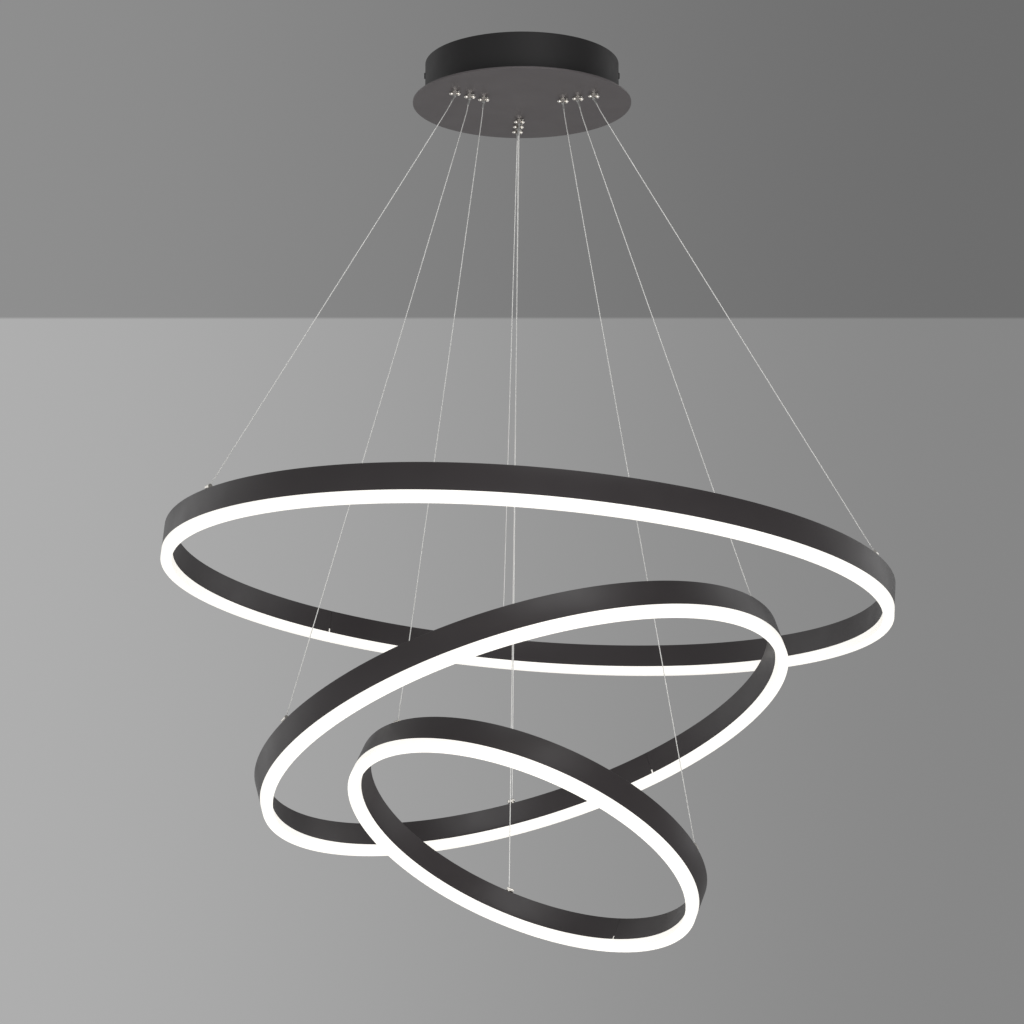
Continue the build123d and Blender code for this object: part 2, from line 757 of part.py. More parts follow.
def build_led_tape(ring):
    """The tape on the web's underside, with its evenly spaced chips."""
    start = ring.seam + ring.angle(seam_gap)
    chip_count = round(2 * pi * ring.middle / chip_pitch)
    chip_level = channel_depth - tape_thickness - chip_height / 2
    with BuildPart() as led_tape:
        with BuildSketch(ring.section(start)):
            with Locations((ring.middle, channel_depth - tape_thickness / 2)):
                Rectangle(tape_width, tape_thickness)
        revolve(axis=ring.axis, revolution_arc=360 - 2 * ring.angle(seam_gap))
        with Locations(*[ring.place(ring.middle, ring.seam + (step + 0.5) * 360 / chip_count, chip_level)
                         for step in range(chip_count)]):
            Box(chip_width, chip_length, chip_height)
    save(led_tape, f"led_tape_{ring.number}")


def build_splice_bar(ring, splice_screws):
    """The bar in the duct that joins the profile's ends."""
    with BuildPart() as splice_bar:
        with BuildSketch(ring.section(ring.seam - ring.angle(splice_length) / 2)):
            with Locations((ring.middle, (web_top + duct_top) / 2)):
                Rectangle(inner_width - 2 * splice_clearance, duct_top - web_top - 2 * splice_clearance)
        revolve(axis=ring.axis, revolution_arc=ring.angle(splice_length))
        for azimuth in splice_screws:
            drill(ring.point(ring.middle, azimuth, duct_top), -ring.up, grub_bore,
                  grub_length - profile_top_wall + thread_clearance)
    save(splice_bar, f"splice_bar_{ring.number}")


def build_wire_anchors(ring):
    """The barrels that hold the wires, each on a shank riveted under the profile's top wall."""
    with BuildPart() as wire_anchors:
        for row in row_azimuths:
            seat = ring.place(ring.middle, ring.anchor(row), profile_height)
            for start, end, diameter in (
                (rivet_top - profile_height, anchor_axis_height, anchor_shank),
                (0, anchor_collar_height, anchor_collar),
                (rivet_top - profile_height - anchor_rivet_height, rivet_top - profile_height, anchor_rivet),
            ):
                with BuildSketch(seat.offset(start)):
                    Circle(diameter / 2)
                extrude(amount=end - start)
            side = ring.screw_side(row)
            barrel_end = ring.hold(row) + side * (anchor_barrel_length / 2 + anchor_barrel_shift)
            with BuildSketch(Plane(barrel_end, z_dir=-side)):
                Circle(anchor_barrel / 2)
            extrude(amount=anchor_barrel_length)
        for row in row_azimuths:
            side = ring.screw_side(row)
            barrel_end = ring.hold(row) + side * (anchor_barrel_length / 2 + anchor_barrel_shift)
            drill(ring.hold(row), -ring.pull(row), wire_bore, anchor_barrel)
            drill(barrel_end, -side, grub_bore, anchor_barrel_length / 2 + anchor_barrel_shift)
    save(wire_anchors, f"wire_anchors_{ring.number}")


def build_anchor_bushes(ring):
    """The insulating bushes between the anchors and the profile."""
    with BuildPart() as anchor_bushes:
        for row in row_azimuths:
            base = ring.place(ring.middle, ring.anchor(row), rivet_top)
            with BuildSketch(base):
                Circle(anchor_bush_flange / 2)
            extrude(amount=anchor_bush_flange_height)
            with BuildSketch(base):
                Circle(anchor_bush / 2)
            extrude(amount=profile_height - rivet_top)
            drill(base.origin, ring.up, anchor_shank + 2 * bush_clearance, profile_height - rivet_top)
    save(anchor_bushes, f"anchor_bushes_{ring.number}")


def build_grub_screws(ring, splice_screws):
    """One grub screw in each anchor's barrel and four through the top wall at the seam."""
    barrel_screws = [
        Plane(ring.hold(row) + ring.screw_side(row) * (wire_bore / 2 + grub_length),
              z_dir=ring.screw_side(row))
        for row in row_azimuths
    ]
    seam_screws = [ring.place(ring.middle, azimuth, profile_height) for azimuth in splice_screws]
    with BuildPart() as grub_screws:
        with Locations(*barrel_screws, *seam_screws):
            add(one_grub.part)
    save(grub_screws, f"grub_screws_{ring.number}")


def build_feed_leads(ring, feed_ends):
    """The leads from the two live anchors along the duct and down through the web to the tape."""
    with BuildPart() as feed_leads:
        for row, feed_end in feed_ends.items():
            run_level = web_top + feed_height
            route = [
                ring.point(ring.middle, ring.anchor(row), rivet_top - anchor_rivet_height),
                ring.point(ring.middle, ring.anchor(row), run_level),
                ring.point(ring.middle, feed_end, run_level),
                ring.point(ring.middle, feed_end, channel_depth),
            ]
            tube(route, feed_diameter, feed_bend)
    save(feed_leads, f"feed_leads_{ring.number}")


for ring in rings:
    splice_screws = [ring.seam + ring.angle(offset) for offset in splice_offsets]
    feed_ends = {row: ring.anchor(row) + ring.angle(feed_run) for row in ring.live_rows}
    build_profile(ring, splice_screws, feed_ends.values())
    build_diffuser(ring)
    build_led_tape(ring)
    build_splice_bar(ring, splice_screws)
    build_wire_anchors(ring)
    build_anchor_bushes(ring)
    build_grub_screws(ring, splice_screws)
    build_feed_leads(ring, feed_ends)
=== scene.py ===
"""LED ring chandelier: three lit rings on steel wires below a round canopy.

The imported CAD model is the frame. This add-on, run as a script, dresses it: it makes the profiles, the
opal diffusers and the steel wires as fine surfaces, gives every part its finish, and sets the stage.
All lengths are in metres, Z is up and the origin lies on the ceiling at the canopy's middle.
"""
from math import cos, pi, radians, sin, tau

import bpy
import bmesh
import numpy as np
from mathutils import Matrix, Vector
from bpy.props import (CollectionProperty, FloatProperty, FloatVectorProperty, IntProperty,
                       PointerProperty)


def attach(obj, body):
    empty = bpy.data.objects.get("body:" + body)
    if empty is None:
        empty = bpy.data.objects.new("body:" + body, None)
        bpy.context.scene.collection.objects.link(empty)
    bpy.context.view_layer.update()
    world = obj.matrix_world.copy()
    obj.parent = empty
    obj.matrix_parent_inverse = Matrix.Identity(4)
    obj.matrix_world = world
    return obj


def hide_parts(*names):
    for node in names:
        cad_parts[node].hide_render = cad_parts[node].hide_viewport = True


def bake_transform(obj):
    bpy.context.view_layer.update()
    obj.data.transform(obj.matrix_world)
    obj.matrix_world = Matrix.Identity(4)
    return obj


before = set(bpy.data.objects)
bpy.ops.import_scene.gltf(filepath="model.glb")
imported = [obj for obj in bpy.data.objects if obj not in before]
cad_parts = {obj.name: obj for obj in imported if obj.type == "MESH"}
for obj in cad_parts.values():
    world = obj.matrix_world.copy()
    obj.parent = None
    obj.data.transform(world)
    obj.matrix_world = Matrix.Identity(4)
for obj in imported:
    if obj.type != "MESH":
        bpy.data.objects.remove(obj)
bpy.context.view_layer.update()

bl_info = {
    "name": "LED ring chandelier",
    "version": (1, 0, 0),
    "blender": (4, 5, 0),
    "location": "3D View > Sidebar > Chandelier",
    "description": "Dresses the packed frame of a chandelier of three lit rings on steel wires",
    "category": "Add Mesh",
}

MM = 0.001
STRANDS = 7
CHIP_PITCH = 26 * MM
# Where the screws of a seam's joiner lie, along the ring from the seam.
SEAM_SCREWS = (-22 * MM, -8 * MM, 8 * MM, 22 * MM)
ROWS = {"left": radians(213.2), "right": radians(333.2), "far": radians(93.2)}
# Per ring: outer diameter, drop, shift in x and y, tilt, lean, turn, seam, and its grippers' radius.
RING_PLACES = (
    (0.800, 0.6025, (0.0045, 0.0010), 8.9, 58.0, 1.2, 128.8, 0.0895),
    (0.600, 0.7595, (0.0050, 0.0225), 25.0, 131.2, -1.7, 56.2, 0.0700),
    (0.400, 0.8785, (-0.0005, -0.0200), 34.1, 49.9, 4.9, 54.4, 0.0515),
)
# The camera: its lens and sensor in mm, its place, and how far it looks up.
LENS, SENSOR = 75.3, 36.0
CAMERA_PLACE = (-0.0113, -2.351, -0.830)
CAMERA_RISE = 0.134
# Soft lights: name, place, aim, width, height and power in watts.
LIGHTS = (
    ("low", (0.4, -1.9, -2.1), (0.0, 0.0, -0.5), 3.2, 2.4, 56.0),
    ("top", (0.3, -1.1, 2.5), (0.0, 0.0, -0.6), 2.4, 1.8, 16.0),
    ("front", (0.8, -2.0, 1.7), (0.0, 0.0, -0.6), 1.8, 1.4, 14.0),
    ("right", (2.3, 1.3, 0.1), (0.0, 0.0, -0.5), 1.8, 2.4, 9.0),
    ("left", (-2.3, 1.1, -0.2), (0.0, 0.0, -0.5), 1.8, 2.4, 7.0),
)
# Rise over run of the line of sight to the room's ceiling line, and half the width of its soft edge.
CEILING_LINE, CEILING_EDGE = 0.2281, 0.0006
FLOOR_RADIUS, FLOOR_LEVEL = 3.0, -3.2


def linear(code):
    """Turn an sRGB hex colour into linear red, green, blue and alpha."""
    srgb = np.array([int(code[place:place + 2], 16) for place in (1, 3, 5)]) / 255
    channels = np.where(srgb <= 0.04045, srgb / 12.92, ((srgb + 0.055) / 1.055) ** 2.4)
    return (*map(float, channels), 1.0)


# ---------------------------------------------------------------- sizes and colours
def length(name, description, default):
    """A length in metres that the user can change."""
    return FloatProperty(name=name, description=description, default=default, min=0.0,
                         precision=4, unit="LENGTH")


def colour(name, description, code):
    """A colour that the user can change, given as sRGB hex."""
    return FloatVectorProperty(name=name, description=description, default=linear(code), size=4,
                               min=0.0, max=1.0, subtype="COLOR")


class RingPlace(bpy.types.PropertyGroup):
    """Where one ring hangs, and how large it is."""
    number: IntProperty(name="Number", description="1 is the upper ring", default=1, min=1, max=3)
    diameter: length("Diameter", "Outer diameter of the ring", 0.8)
    drop: length("Drop", "Depth of the ring's centre below the ceiling", 0.6)
    shift: FloatVectorProperty(name="Shift", size=2, precision=4, default=(0.0, 0.0), unit="LENGTH",
                               description="Shift of the ring's centre from the canopy's axis")
    tilt: FloatProperty(name="Tilt", description="Angle between the ring's axis and the vertical",
                        default=0.0, subtype="ANGLE")
    lean: FloatProperty(name="Lean", description="Azimuth towards which the ring's axis leans",
                        default=0.0, subtype="ANGLE")
    turn: FloatProperty(name="Turn", default=0.0, subtype="ANGLE",
                        description="How far the ring's anchors are turned from the gripper rows")
    seam: FloatProperty(name="Seam", description="Azimuth of the profile's seam on the ring",
                        default=0.0, subtype="ANGLE")
    gripper_radius: length("Gripper radius", "Distance of the ring's grippers from the canopy's axis", 0.09)


class ProfileSizes(bpy.types.PropertyGroup):
    """The section of the ring profile."""
    width: length("Width", "Width of the section", 12 * MM)
    height: length("Height", "Height of the section", 27 * MM)
    wall: length("Wall", "Thickness of the side walls", 1.4 * MM)
    top_wall: length("Top wall", "Thickness of the top wall", 2 * MM)
    channel: length("Channel", "Depth of the channel that takes the diffuser", 9 * MM)
    web: length("Web", "Thickness of the web above the channel", 1.4 * MM)
    corner: length("Corner", "Radius of the two upper corners", 0.6 * MM)
    edge: length("Edge", "Radius of the lower lips", 0.25 * MM)
    seam_gap: length("Seam gap", "Width of the seam", 0.3 * MM)
    notch_width: length("Notch width", "Width of the notch in the inner wall at the seam", 2.4 * MM)
    notch_height: length("Notch height", "Height of that notch", 4.6 * MM)
    anchor_hole: length("Anchor hole", "Diameter of the holes for the anchors' bushes", 5.4 * MM)
    screw_hole: length("Screw hole", "Diameter of the holes for the seam's screws", 3.06 * MM)


class DiffuserSizes(bpy.types.PropertyGroup):
    """The section of the opal diffuser."""
    drop: length("Drop", "How far it stands below the profile", 10 * MM)
    neck: length("Neck", "How far its neck reaches into the channel", 5 * MM)
    neck_gap: length("Neck gap", "Clearance of the neck in the channel", 0.2 * MM)
    side: length("Side", "Thickness of the neck's walls", 1.2 * MM)
    floor: length("Floor", "Thickness of the lit face", 1.5 * MM)
    corner: length("Corner", "Radius of the two lower corners", 0.8 * MM)


class WireSizes(bpy.types.PropertyGroup):
    """The suspension wires."""
    diameter: length("Diameter", "Diameter of the wires", 1.0 * MM)
    lay: length("Lay", "Length in which the strands turn once round the wire", 9 * MM)
    stand: length("Stand", "Length that stays straight at a bend and in an anchor", 6 * MM)
    bow: length("Bow", "How far the stiff wire bows out below its gripper", 1.6 * MM)
    bow_reach: length("Bow reach", "Where below the gripper that bow lies", 24 * MM)
    top: FloatProperty(name="Top", description="Height of the wires' upper ends", default=-33.5 * MM,
                       precision=4, unit="LENGTH")
    bend: FloatProperty(name="Bend", description="Height of the bend in the sleeves", default=-52.2 * MM,
                        precision=4, unit="LENGTH")
    hold: length("Hold", "Height of the anchors' barrels above the rings' lower edge", 31.5 * MM)


class Finishes(bpy.types.PropertyGroup):
    """Colours of the finishes, and the strength of the light."""
    ring_paint: colour("Ring paint", "Powder coat of the ring profiles", "#353132")
    drum_paint: colour("Drum paint", "Powder coat of the canopy's drum", "#151314")
    plate_paint: colour("Plate paint", "Lacquer of the canopy's plate", "#5e595a")
    nickel: colour("Nickel", "Plating of the grippers, knobs and anchors", "#e9e5de")
    wire_steel: colour("Wire steel", "Steel of the suspension wires", "#f2f1ee")
    zinc: colour("Zinc", "Plating of the bracket, screws and nuts", "#b9bcbe")
    opal: colour("Opal", "Light of the diffusers", "#fffbf4")
    opal_strength: FloatProperty(name="Opal strength", description="Strength of the diffusers' light",
                                 default=0.68, min=0.0)
    bright_side: colour("Bright side", "Grey of the room on its brighter side", "#b0b0b0")
    dim_side: colour("Dim side", "Grey of the room on its dimmer side", "#868686")
    overhead: FloatProperty(name="Overhead", description="Share of that grey that the room has overhead",
                            default=0.64, min=0.0, max=1.0, subtype="FACTOR")
    floor: colour("Floor", "Plain pale floor", "#d6d5d2")


class ChandelierSettings(bpy.types.PropertyGroup):
    """Everything that the user can change."""
    rings: CollectionProperty(type=RingPlace)
    profile: PointerProperty(type=ProfileSizes)
    diffuser: PointerProperty(type=DiffuserSizes)
    wire: PointerProperty(type=WireSizes)
    finish: PointerProperty(type=Finishes)


def fill_rings(settings):
    """Put the three rings' places from the table into the settings."""
    settings.rings.clear()
    for number, row in enumerate(RING_PLACES, 1):
        diameter, drop, shift, tilt, lean, turn, seam, gripper_radius = row
        place = settings.rings.add()
        place.number, place.diameter, place.drop, place.shift = number, diameter, drop, shift
        place.tilt, place.lean, place.turn, place.seam = map(radians, (tilt, lean, turn, seam))
        place.gripper_radius = gripper_radius


# ---------------------------------------------------------------- surfaces
class RingFrame:
    """A ring's own axes: its centre on the profile's lower edge, two directions in its plane, its axis."""

    def __init__(self, place, profile):
        tilt, lean = place.tilt, place.lean
        self.up = np.array([sin(tilt) * cos(lean), sin(tilt) * sin(lean), cos(tilt)])
        along = np.array([1.0, 0.0, 0.0]) - self.up * self.up[0]
        self.along = along / np.linalg.norm(along)
        self.across = np.cross(self.up, self.along)
        self.centre = np.array([*place.shift, -place.drop])
        self.middle = place.diameter / 2 - profile.width / 2

    def points(self, outward, azimuth, height):
        """p = centre + (middle + outward) (cos a along + sin a across) + height up, for whole arrays."""
        outward, azimuth, height = (np.asarray(value, float)[..., None]
                                    for value in (outward, azimuth, height))
        circle = np.cos(azimuth) * self.along + np.sin(azimuth) * self.across
        return self.centre + (self.middle + outward) * circle + height * self.up


def rounded(corners, radii, steps):
    """Outline of a polygon whose corners are arcs.

    An arc of radius r touches both sides r / tan(h) from its corner, h being half the corner's angle.
    Its points turn evenly from one touching point to the other about the centre between the sides.
    """
    corners, radii = np.array(corners, float), np.array(radii, float)[:, None]
    back = np.roll(corners, 1, axis=0) - corners
    ahead = np.roll(corners, -1, axis=0) - corners
    back /= np.linalg.norm(back, axis=1, keepdims=True)
    ahead /= np.linalg.norm(ahead, axis=1, keepdims=True)
    half = np.arccos(np.sum(back * ahead, axis=1, keepdims=True)) / 2
    centres = corners + (back + ahead) / (2 * np.cos(half)) * radii / np.sin(half)
    first = (corners + back * radii / np.tan(half) - centres)[:, None]
    last = (corners + ahead * radii / np.tan(half) - centres)[:, None]
    turned = (pi - 2 * half)[:, None]
    share = np.linspace(0, 1, steps)[None, :, None]
    arcs = (np.sin((1 - share) * turned) * first + np.sin(share * turned) * last) / np.sin(turned)
    return (centres[:, None] + arcs).reshape(-1, 2)


def grid_faces(columns, rows, closed):
    """Four corners of every face of a grid whose rows close on themselves, and whose columns may."""
    column = np.arange(columns if closed else columns - 1)[:, None]
    row = np.arange(rows)[None, :]
    beside, above = (column + 1) % columns, (row + 1) % rows
    faces = [column * rows + row, beside * rows + row, beside * rows + above, column * rows + above]
    return np.stack(np.broadcast_arrays(*faces), axis=-1).reshape(-1, 4)


def make_mesh(name, points, faces, sharp=35, uv=None):
    """A mesh object from points and faces, smooth apart from edges sharper than an angle in degrees."""
    mesh = bpy.data.meshes.new(name)
    mesh.from_pydata(points.reshape(-1, 3).tolist(), [], [list(map(int, face)) for face in faces])
    if uv is not None:
        mesh.uv_layers.new(name="surface").data.foreach_set("uv", uv.astype(np.float32).ravel())
    finish_mesh(mesh, sharp)
    piece = bpy.data.objects.new(name, mesh)
    bpy.context.scene.collection.objects.link(piece)
    return piece


def finish_mesh(mesh, sharp=35):
    """Merge doubled points, which closes seams and drops empty faces, and shade the mesh smooth."""
    shell = bmesh.new()
    shell.from_mesh(mesh)
    bmesh.ops.remove_doubles(shell, verts=shell.verts, dist=1e-6)
    shell.to_mesh(mesh)
    shell.free()
    mesh.polygons.foreach_set("use_smooth", np.ones(len(mesh.polygons), bool))
    mesh.set_sharp_from_angle(angle=radians(sharp))
    mesh.update()


def drilled(piece, cutters):
    """The piece with the cutters' volume taken out of its mesh; the cutters are removed."""
    cut = piece.modifiers.new("holes", "BOOLEAN")
    cut.operation, cut.solver, cut.object = "DIFFERENCE", "EXACT", cutters
    bpy.context.view_layer.update()
    mesh = bpy.data.meshes.new_from_object(piece.evaluated_get(bpy.context.evaluated_depsgraph_get()))
    piece.modifiers.clear()
    piece.data = mesh
    bpy.data.objects.remove(cutters)
    finish_mesh(mesh)
    return piece


def pins(ring, azimuths, diameters, low, high, sides=32):
    """Closed round pins that stand along the ring's axis on its middle circle.

    A pin's wall is its own centre plus r (cos t outward + sin t sideways), at its lower and upper end.
    """
    azimuths, radii = np.asarray(azimuths, float), np.asarray(diameters, float) / 2
    turn = np.arange(sides) * tau / sides
    foot = ring.points(0, azimuths, low)[:, None, None]
    outward = (ring.points(0, azimuths, 0) - ring.centre) / ring.middle
    sideways = np.cross(ring.up, outward)
    round_part = (np.cos(turn)[None, :, None] * outward[:, None]
                  + np.sin(turn)[None, :, None] * sideways[:, None])
    rise = np.array([0.0, high - low])[None, :, None, None] * ring.up
    points = foot + rise + radii[:, None, None, None] * round_part[:, None]
    start = np.arange(len(azimuths))[:, None, None] * 2 * sides
    walls = grid_faces(2, sides, closed=False)[:, ::-1][None] + start
    lids = [np.arange(sides)[::-1] + first for first in start.ravel()]
    lids += [np.arange(sides) + sides + first for first in start.ravel()]
    return make_mesh("cutters", points, [*walls.reshape(-1, 4), *lids])


def spline_points(route):
    """Points along the smooth NURBS curve that a route's points control."""
    curve = bpy.data.curves.new("route", "CURVE")
    curve.dimensions, curve.resolution_u = "3D", 24
    spline = curve.splines.new("NURBS")
    spline.points.add(len(route) - 1)
    weighted = np.column_stack([route, np.ones(len(route))])
    spline.points.foreach_set("co", weighted.astype(np.float32).ravel())
    spline.order_u = 3
    spline.use_endpoint_u = True
    guide = bpy.data.objects.new("route", curve)
    mesh = bpy.data.meshes.new_from_object(guide)
    points = np.empty(len(mesh.vertices) * 3, np.float32)
    mesh.vertices.foreach_get("co", points)
    bpy.data.meshes.remove(mesh)
    bpy.data.objects.remove(guide)
    bpy.data.curves.remove(curve)
    return points.reshape(-1, 3).astype(float)


def wire_tube(name, path, diameter, sides=14):
    """A round wire along a path that lies in one upright plane.

    Every point is the path's point plus r (cos t side + sin t over), where side is square to the plane and
    over is square to both side and the path. The map's u goes round the wire and its v is metres along it.
    """
    ahead = np.gradient(path, axis=0)
    ahead /= np.linalg.norm(ahead, axis=1, keepdims=True)
    side = np.cross(path[-1] - path[0], [0.0, 0.0, 1.0])
    side /= np.linalg.norm(side)
    over = np.cross(side, ahead)
    turn = np.arange(sides) * tau / sides
    ring = np.cos(turn)[None, :, None] * side + np.sin(turn)[None, :, None] * over[:, None]
    points = path[:, None] + diameter / 2 * ring
    faces = grid_faces(len(path), sides, closed=False)
    along = np.concatenate([[0], np.cumsum(np.linalg.norm(np.diff(path, axis=0), axis=1))])
    u, v = np.arange(sides)[None, :] / sides, along[:, None]
    corners = [(u, v[:-1]), (u, v[1:]), (u + 1 / sides, v[1:]), (u + 1 / sides, v[:-1])]
    wall_uv = np.stack([np.stack(np.broadcast_arrays(*corner), axis=-1) for corner in corners], axis=2)
    lids = [np.arange(sides), np.arange(sides)[::-1] + (len(path) - 1) * sides]
    lid_uv = np.zeros((2 * sides, 2))
    uv = np.concatenate([wall_uv.reshape(-1, 2), lid_uv])
    return make_mesh(name, points, [*faces, *lids], sharp=60, uv=uv)


# ---------------------------------------------------------------- finishes
def add(tree, kind, sockets=None, **settings):
    """Add a node to a tree. Settings are its options; a socket takes a value, or another node's output."""
    node = tree.nodes.new(kind)
    for option, value in settings.items():
        setattr(node, option, value)
    for socket, value in (sockets or {}).items():
        if isinstance(value, bpy.types.NodeSocket):
            tree.links.new(value, node.inputs[socket])
        else:
            node.inputs[socket].default_value = value
    return node


def new_finish(name, sockets):
    """An empty material whose shader has the given values. Returns it with its tree and shader."""
    material = bpy.data.materials.new(name)
    material.use_nodes = True
    tree = material.node_tree
    tree.nodes.clear()
    shader = add(tree, "ShaderNodeBsdfPrincipled", sockets)
    add(tree, "ShaderNodeOutputMaterial", {"Surface": shader.outputs["BSDF"]})
    return material, tree, shader


def grain(tree, shader, size, relief, roughness, cloud=None):
    """Give a shader a fine relief of grains of a size, and roughness that varies in patches of 40 mm.

    A cloud of two colours, if given, varies the colour in patches of 60 mm.
    """
    place = add(tree, "ShaderNodeTexCoord").outputs["Object"]
    grains = add(tree, "ShaderNodeTexNoise", {"Vector": place, "Scale": 1 / size, "Detail": 2.0,
                                              "Roughness": 0.5})
    bump = add(tree, "ShaderNodeBump", {"Height": grains.outputs["Fac"], "Strength": 1.0,
                                        "Distance": relief})
    tree.links.new(bump.outputs["Normal"], shader.inputs["Normal"])
    patches = add(tree, "ShaderNodeTexNoise", {"Vector": place, "Scale": 1 / (40 * MM), "Detail": 3.0})
    rough = add(tree, "ShaderNodeMapRange", {"Value": patches.outputs["Fac"], "From Min": 0.3,
                                             "From Max": 0.7, "To Min": roughness[0],
                                             "To Max": roughness[1]})
    tree.links.new(rough.outputs["Result"], shader.inputs["Roughness"])
    if cloud is not None:
        drift = add(tree, "ShaderNodeTexNoise", {"Vector": place, "Scale": 1 / (60 * MM), "Detail": 2.0})
        blend = add(tree, "ShaderNodeMix", {"Factor": drift.outputs["Fac"]}, data_type="RGBA")
        blend.inputs["A"].default_value, blend.inputs["B"].default_value = cloud
        tree.links.new(blend.outputs["Result"], shader.inputs["Base Color"])


def shade(code, factor):
    """A linear colour made darker or lighter by a factor."""
    return (*(min(1.0, channel * factor) for channel in code[:3]), 1.0)


def charcoal_powder_coat(finish):
    """Powder coat on extruded aluminium: a satin, nearly black brown with a faint orange peel.

    Real orange peel has waves of about 1 mm, and is drawn at 2.2 mm so that it breaks up the gloss.
    """
    material, tree, shader = new_finish("charcoal_powder_coat", {"IOR": 1.5})
    tone = tuple(finish.ring_paint)
    grain(tree, shader, 2.2 * MM, 0.02 * MM, (0.34, 0.42), (shade(tone, 0.88), shade(tone, 1.12)))
    return material


def black_powder_coat(finish):
    """Powder coat on steel sheet: a deep satin black, a little rougher than the rings."""
    material, tree, shader = new_finish("black_powder_coat", {"IOR": 1.5})
    tone = tuple(finish.drum_paint)
    grain(tree, shader, 2.2 * MM, 0.02 * MM, (0.5, 0.6), (shade(tone, 0.85), shade(tone, 1.15)))
    return material


def grey_lacquer(finish):
    """Stoved metallic lacquer on steel sheet: an even mid grey whose fine flakes give it a soft sheen.

    Flakes of 0.05 mm are too fine to show, and are drawn at 0.8 mm as a faint sparkle in the relief.
    """
    material, tree, shader = new_finish("grey_lacquer", {"IOR": 1.5, "Metallic": 0.25, "Coat Weight": 0.15,
                                                         "Coat Roughness": 0.3})
    tone = tuple(finish.plate_paint)
    grain(tree, shader, 0.8 * MM, 0.01 * MM, (0.42, 0.5), (shade(tone, 0.93), shade(tone, 1.07)))
    return material


def opal_acrylic(finish):
    """Extruded opal acrylic, lit from behind: an even white glow with a smooth, faintly glossy skin.

    The light chips lie 26 mm apart, and the glow swells by 1.5 parts in a hundred over each of them.
    """
    material, tree, shader = new_finish("opal_acrylic", {
        "Base Color": linear("#dddbd6"), "IOR": 1.49, "Roughness": 0.32,
        "Emission Strength": finish.opal_strength})
    place = add(tree, "ShaderNodeUVMap", uv_map="surface")
    parts = add(tree, "ShaderNodeSeparateXYZ", {"Vector": place.outputs["UV"]})
    phase = add(tree, "ShaderNodeMath", {0: parts.outputs["X"], 1: tau / CHIP_PITCH}, operation="MULTIPLY")
    swell = add(tree, "ShaderNodeMath", {0: phase.outputs["Value"]}, operation="COSINE")
    share = add(tree, "ShaderNodeMapRange", {"Value": swell.outputs["Value"], "From Min": -1.0,
                                             "From Max": 1.0})
    glow = add(tree, "ShaderNodeMix", {"Factor": share.outputs["Result"]}, data_type="RGBA")
    glow.inputs["A"].default_value = shade(tuple(finish.opal), 0.985)
    glow.inputs["B"].default_value = tuple(finish.opal)
    tree.links.new(glow.outputs["Result"], shader.inputs["Emission Color"])
    return material


def polished_nickel(finish):
    """Nickel plate on turned brass: bright and faintly warm, its turning marks just felt in the gloss."""
    material, tree, shader = new_finish("polished_nickel", {
        "Base Color": tuple(finish.nickel), "Metallic": 1.0})
    grain(tree, shader, 0.6 * MM, 0.004 * MM, (0.1, 0.2))
    return material


def stranded_steel(finish, lay):
    """Bright stranded steel wire: a light grey, with strands that turn round it in a long screw and painted
    shade in the grooves between them.

    The wire has 19 strands, and is drawn with 7 so that they still show at its size. The fine strands throw
    light to all sides, and the wire is no wider than a pixel, so the finish is only partly metallic: as plain
    metal it would draw darker than the real one looks.
    """
    material, tree, shader = new_finish("stranded_steel", {"Metallic": 0.3, "Roughness": 0.5})
    place = add(tree, "ShaderNodeUVMap", uv_map="surface")
    turns = add(tree, "ShaderNodeVectorMath", {0: place.outputs["UV"], 1: (STRANDS, STRANDS / lay, 0.0)},
                operation="DOT_PRODUCT")
    phase = add(tree, "ShaderNodeMath", {0: turns.outputs["Value"], 1: tau}, operation="MULTIPLY")
    strand = add(tree, "ShaderNodeMath", {0: phase.outputs["Value"]}, operation="COSINE")
    share = add(tree, "ShaderNodeMapRange", {"Value": strand.outputs["Value"], "From Min": -1.0,
                                             "From Max": -0.5})
    # Painted shade: the base colour darkens to 0.85 of the steel's along a narrow line where each strand
    # meets the next, standing for the shade in the grooves between the strands.
    tone = add(tree, "ShaderNodeMix", {"Factor": share.outputs["Result"]}, data_type="RGBA")
    tone.inputs["A"].default_value = shade(tuple(finish.wire_steel), 0.85)
    tone.inputs["B"].default_value = tuple(finish.wire_steel)
    tree.links.new(tone.outputs["Result"], shader.inputs["Base Color"])
    bump = add(tree, "ShaderNodeBump", {"Height": strand.outputs["Value"], "Distance": 0.006 * MM})
    tree.links.new(bump.outputs["Normal"], shader.inputs["Normal"])
    return material


def zinc_plate(finish):
    """Zinc plate on steel sheet and screws: a cool grey sheen in soft patches."""
    material, tree, shader = new_finish("zinc_plate", {"Metallic": 1.0})
    tone = tuple(finish.zinc)
    grain(tree, shader, 1.5 * MM, 0.008 * MM, (0.3, 0.45), (shade(tone, 0.85), shade(tone, 1.05)))
    return material


def plain_finish(name, tone, ior, roughness, grain_size, relief, **more):
    """A moulded, drawn or painted material of one colour with its own grain."""
    tone = linear(tone) if isinstance(tone, str) else tuple(tone)
    more = {key.replace("_", " "): value for key, value in more.items()}
    material, tree, shader = new_finish(name, {"Base Color": tone, "IOR": ior, **more})
    grain(tree, shader, grain_size, relief, roughness, (shade(tone, 0.94), shade(tone, 1.04)))
    return material


def dress(names, material):
    """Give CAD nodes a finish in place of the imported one."""
    for name in names:
        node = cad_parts[name]
        node.data.materials.clear()
        node.data.materials.append(material)


def per_ring(*kinds):
    """Node names of the given kinds on all three rings."""
    return [f"{kind}_{number}" for kind in kinds for number in (1, 2, 3)]


# ---------------------------------------------------------------- operators
class PieceOperator:
    """What the operators share: the settings, and one undo step each."""
    bl_options = {"REGISTER", "UNDO"}

    def ring_frames(self, settings):
        """Every ring's place with its frame."""
        return [(place, RingFrame(place, settings.profile)) for place in settings.rings]


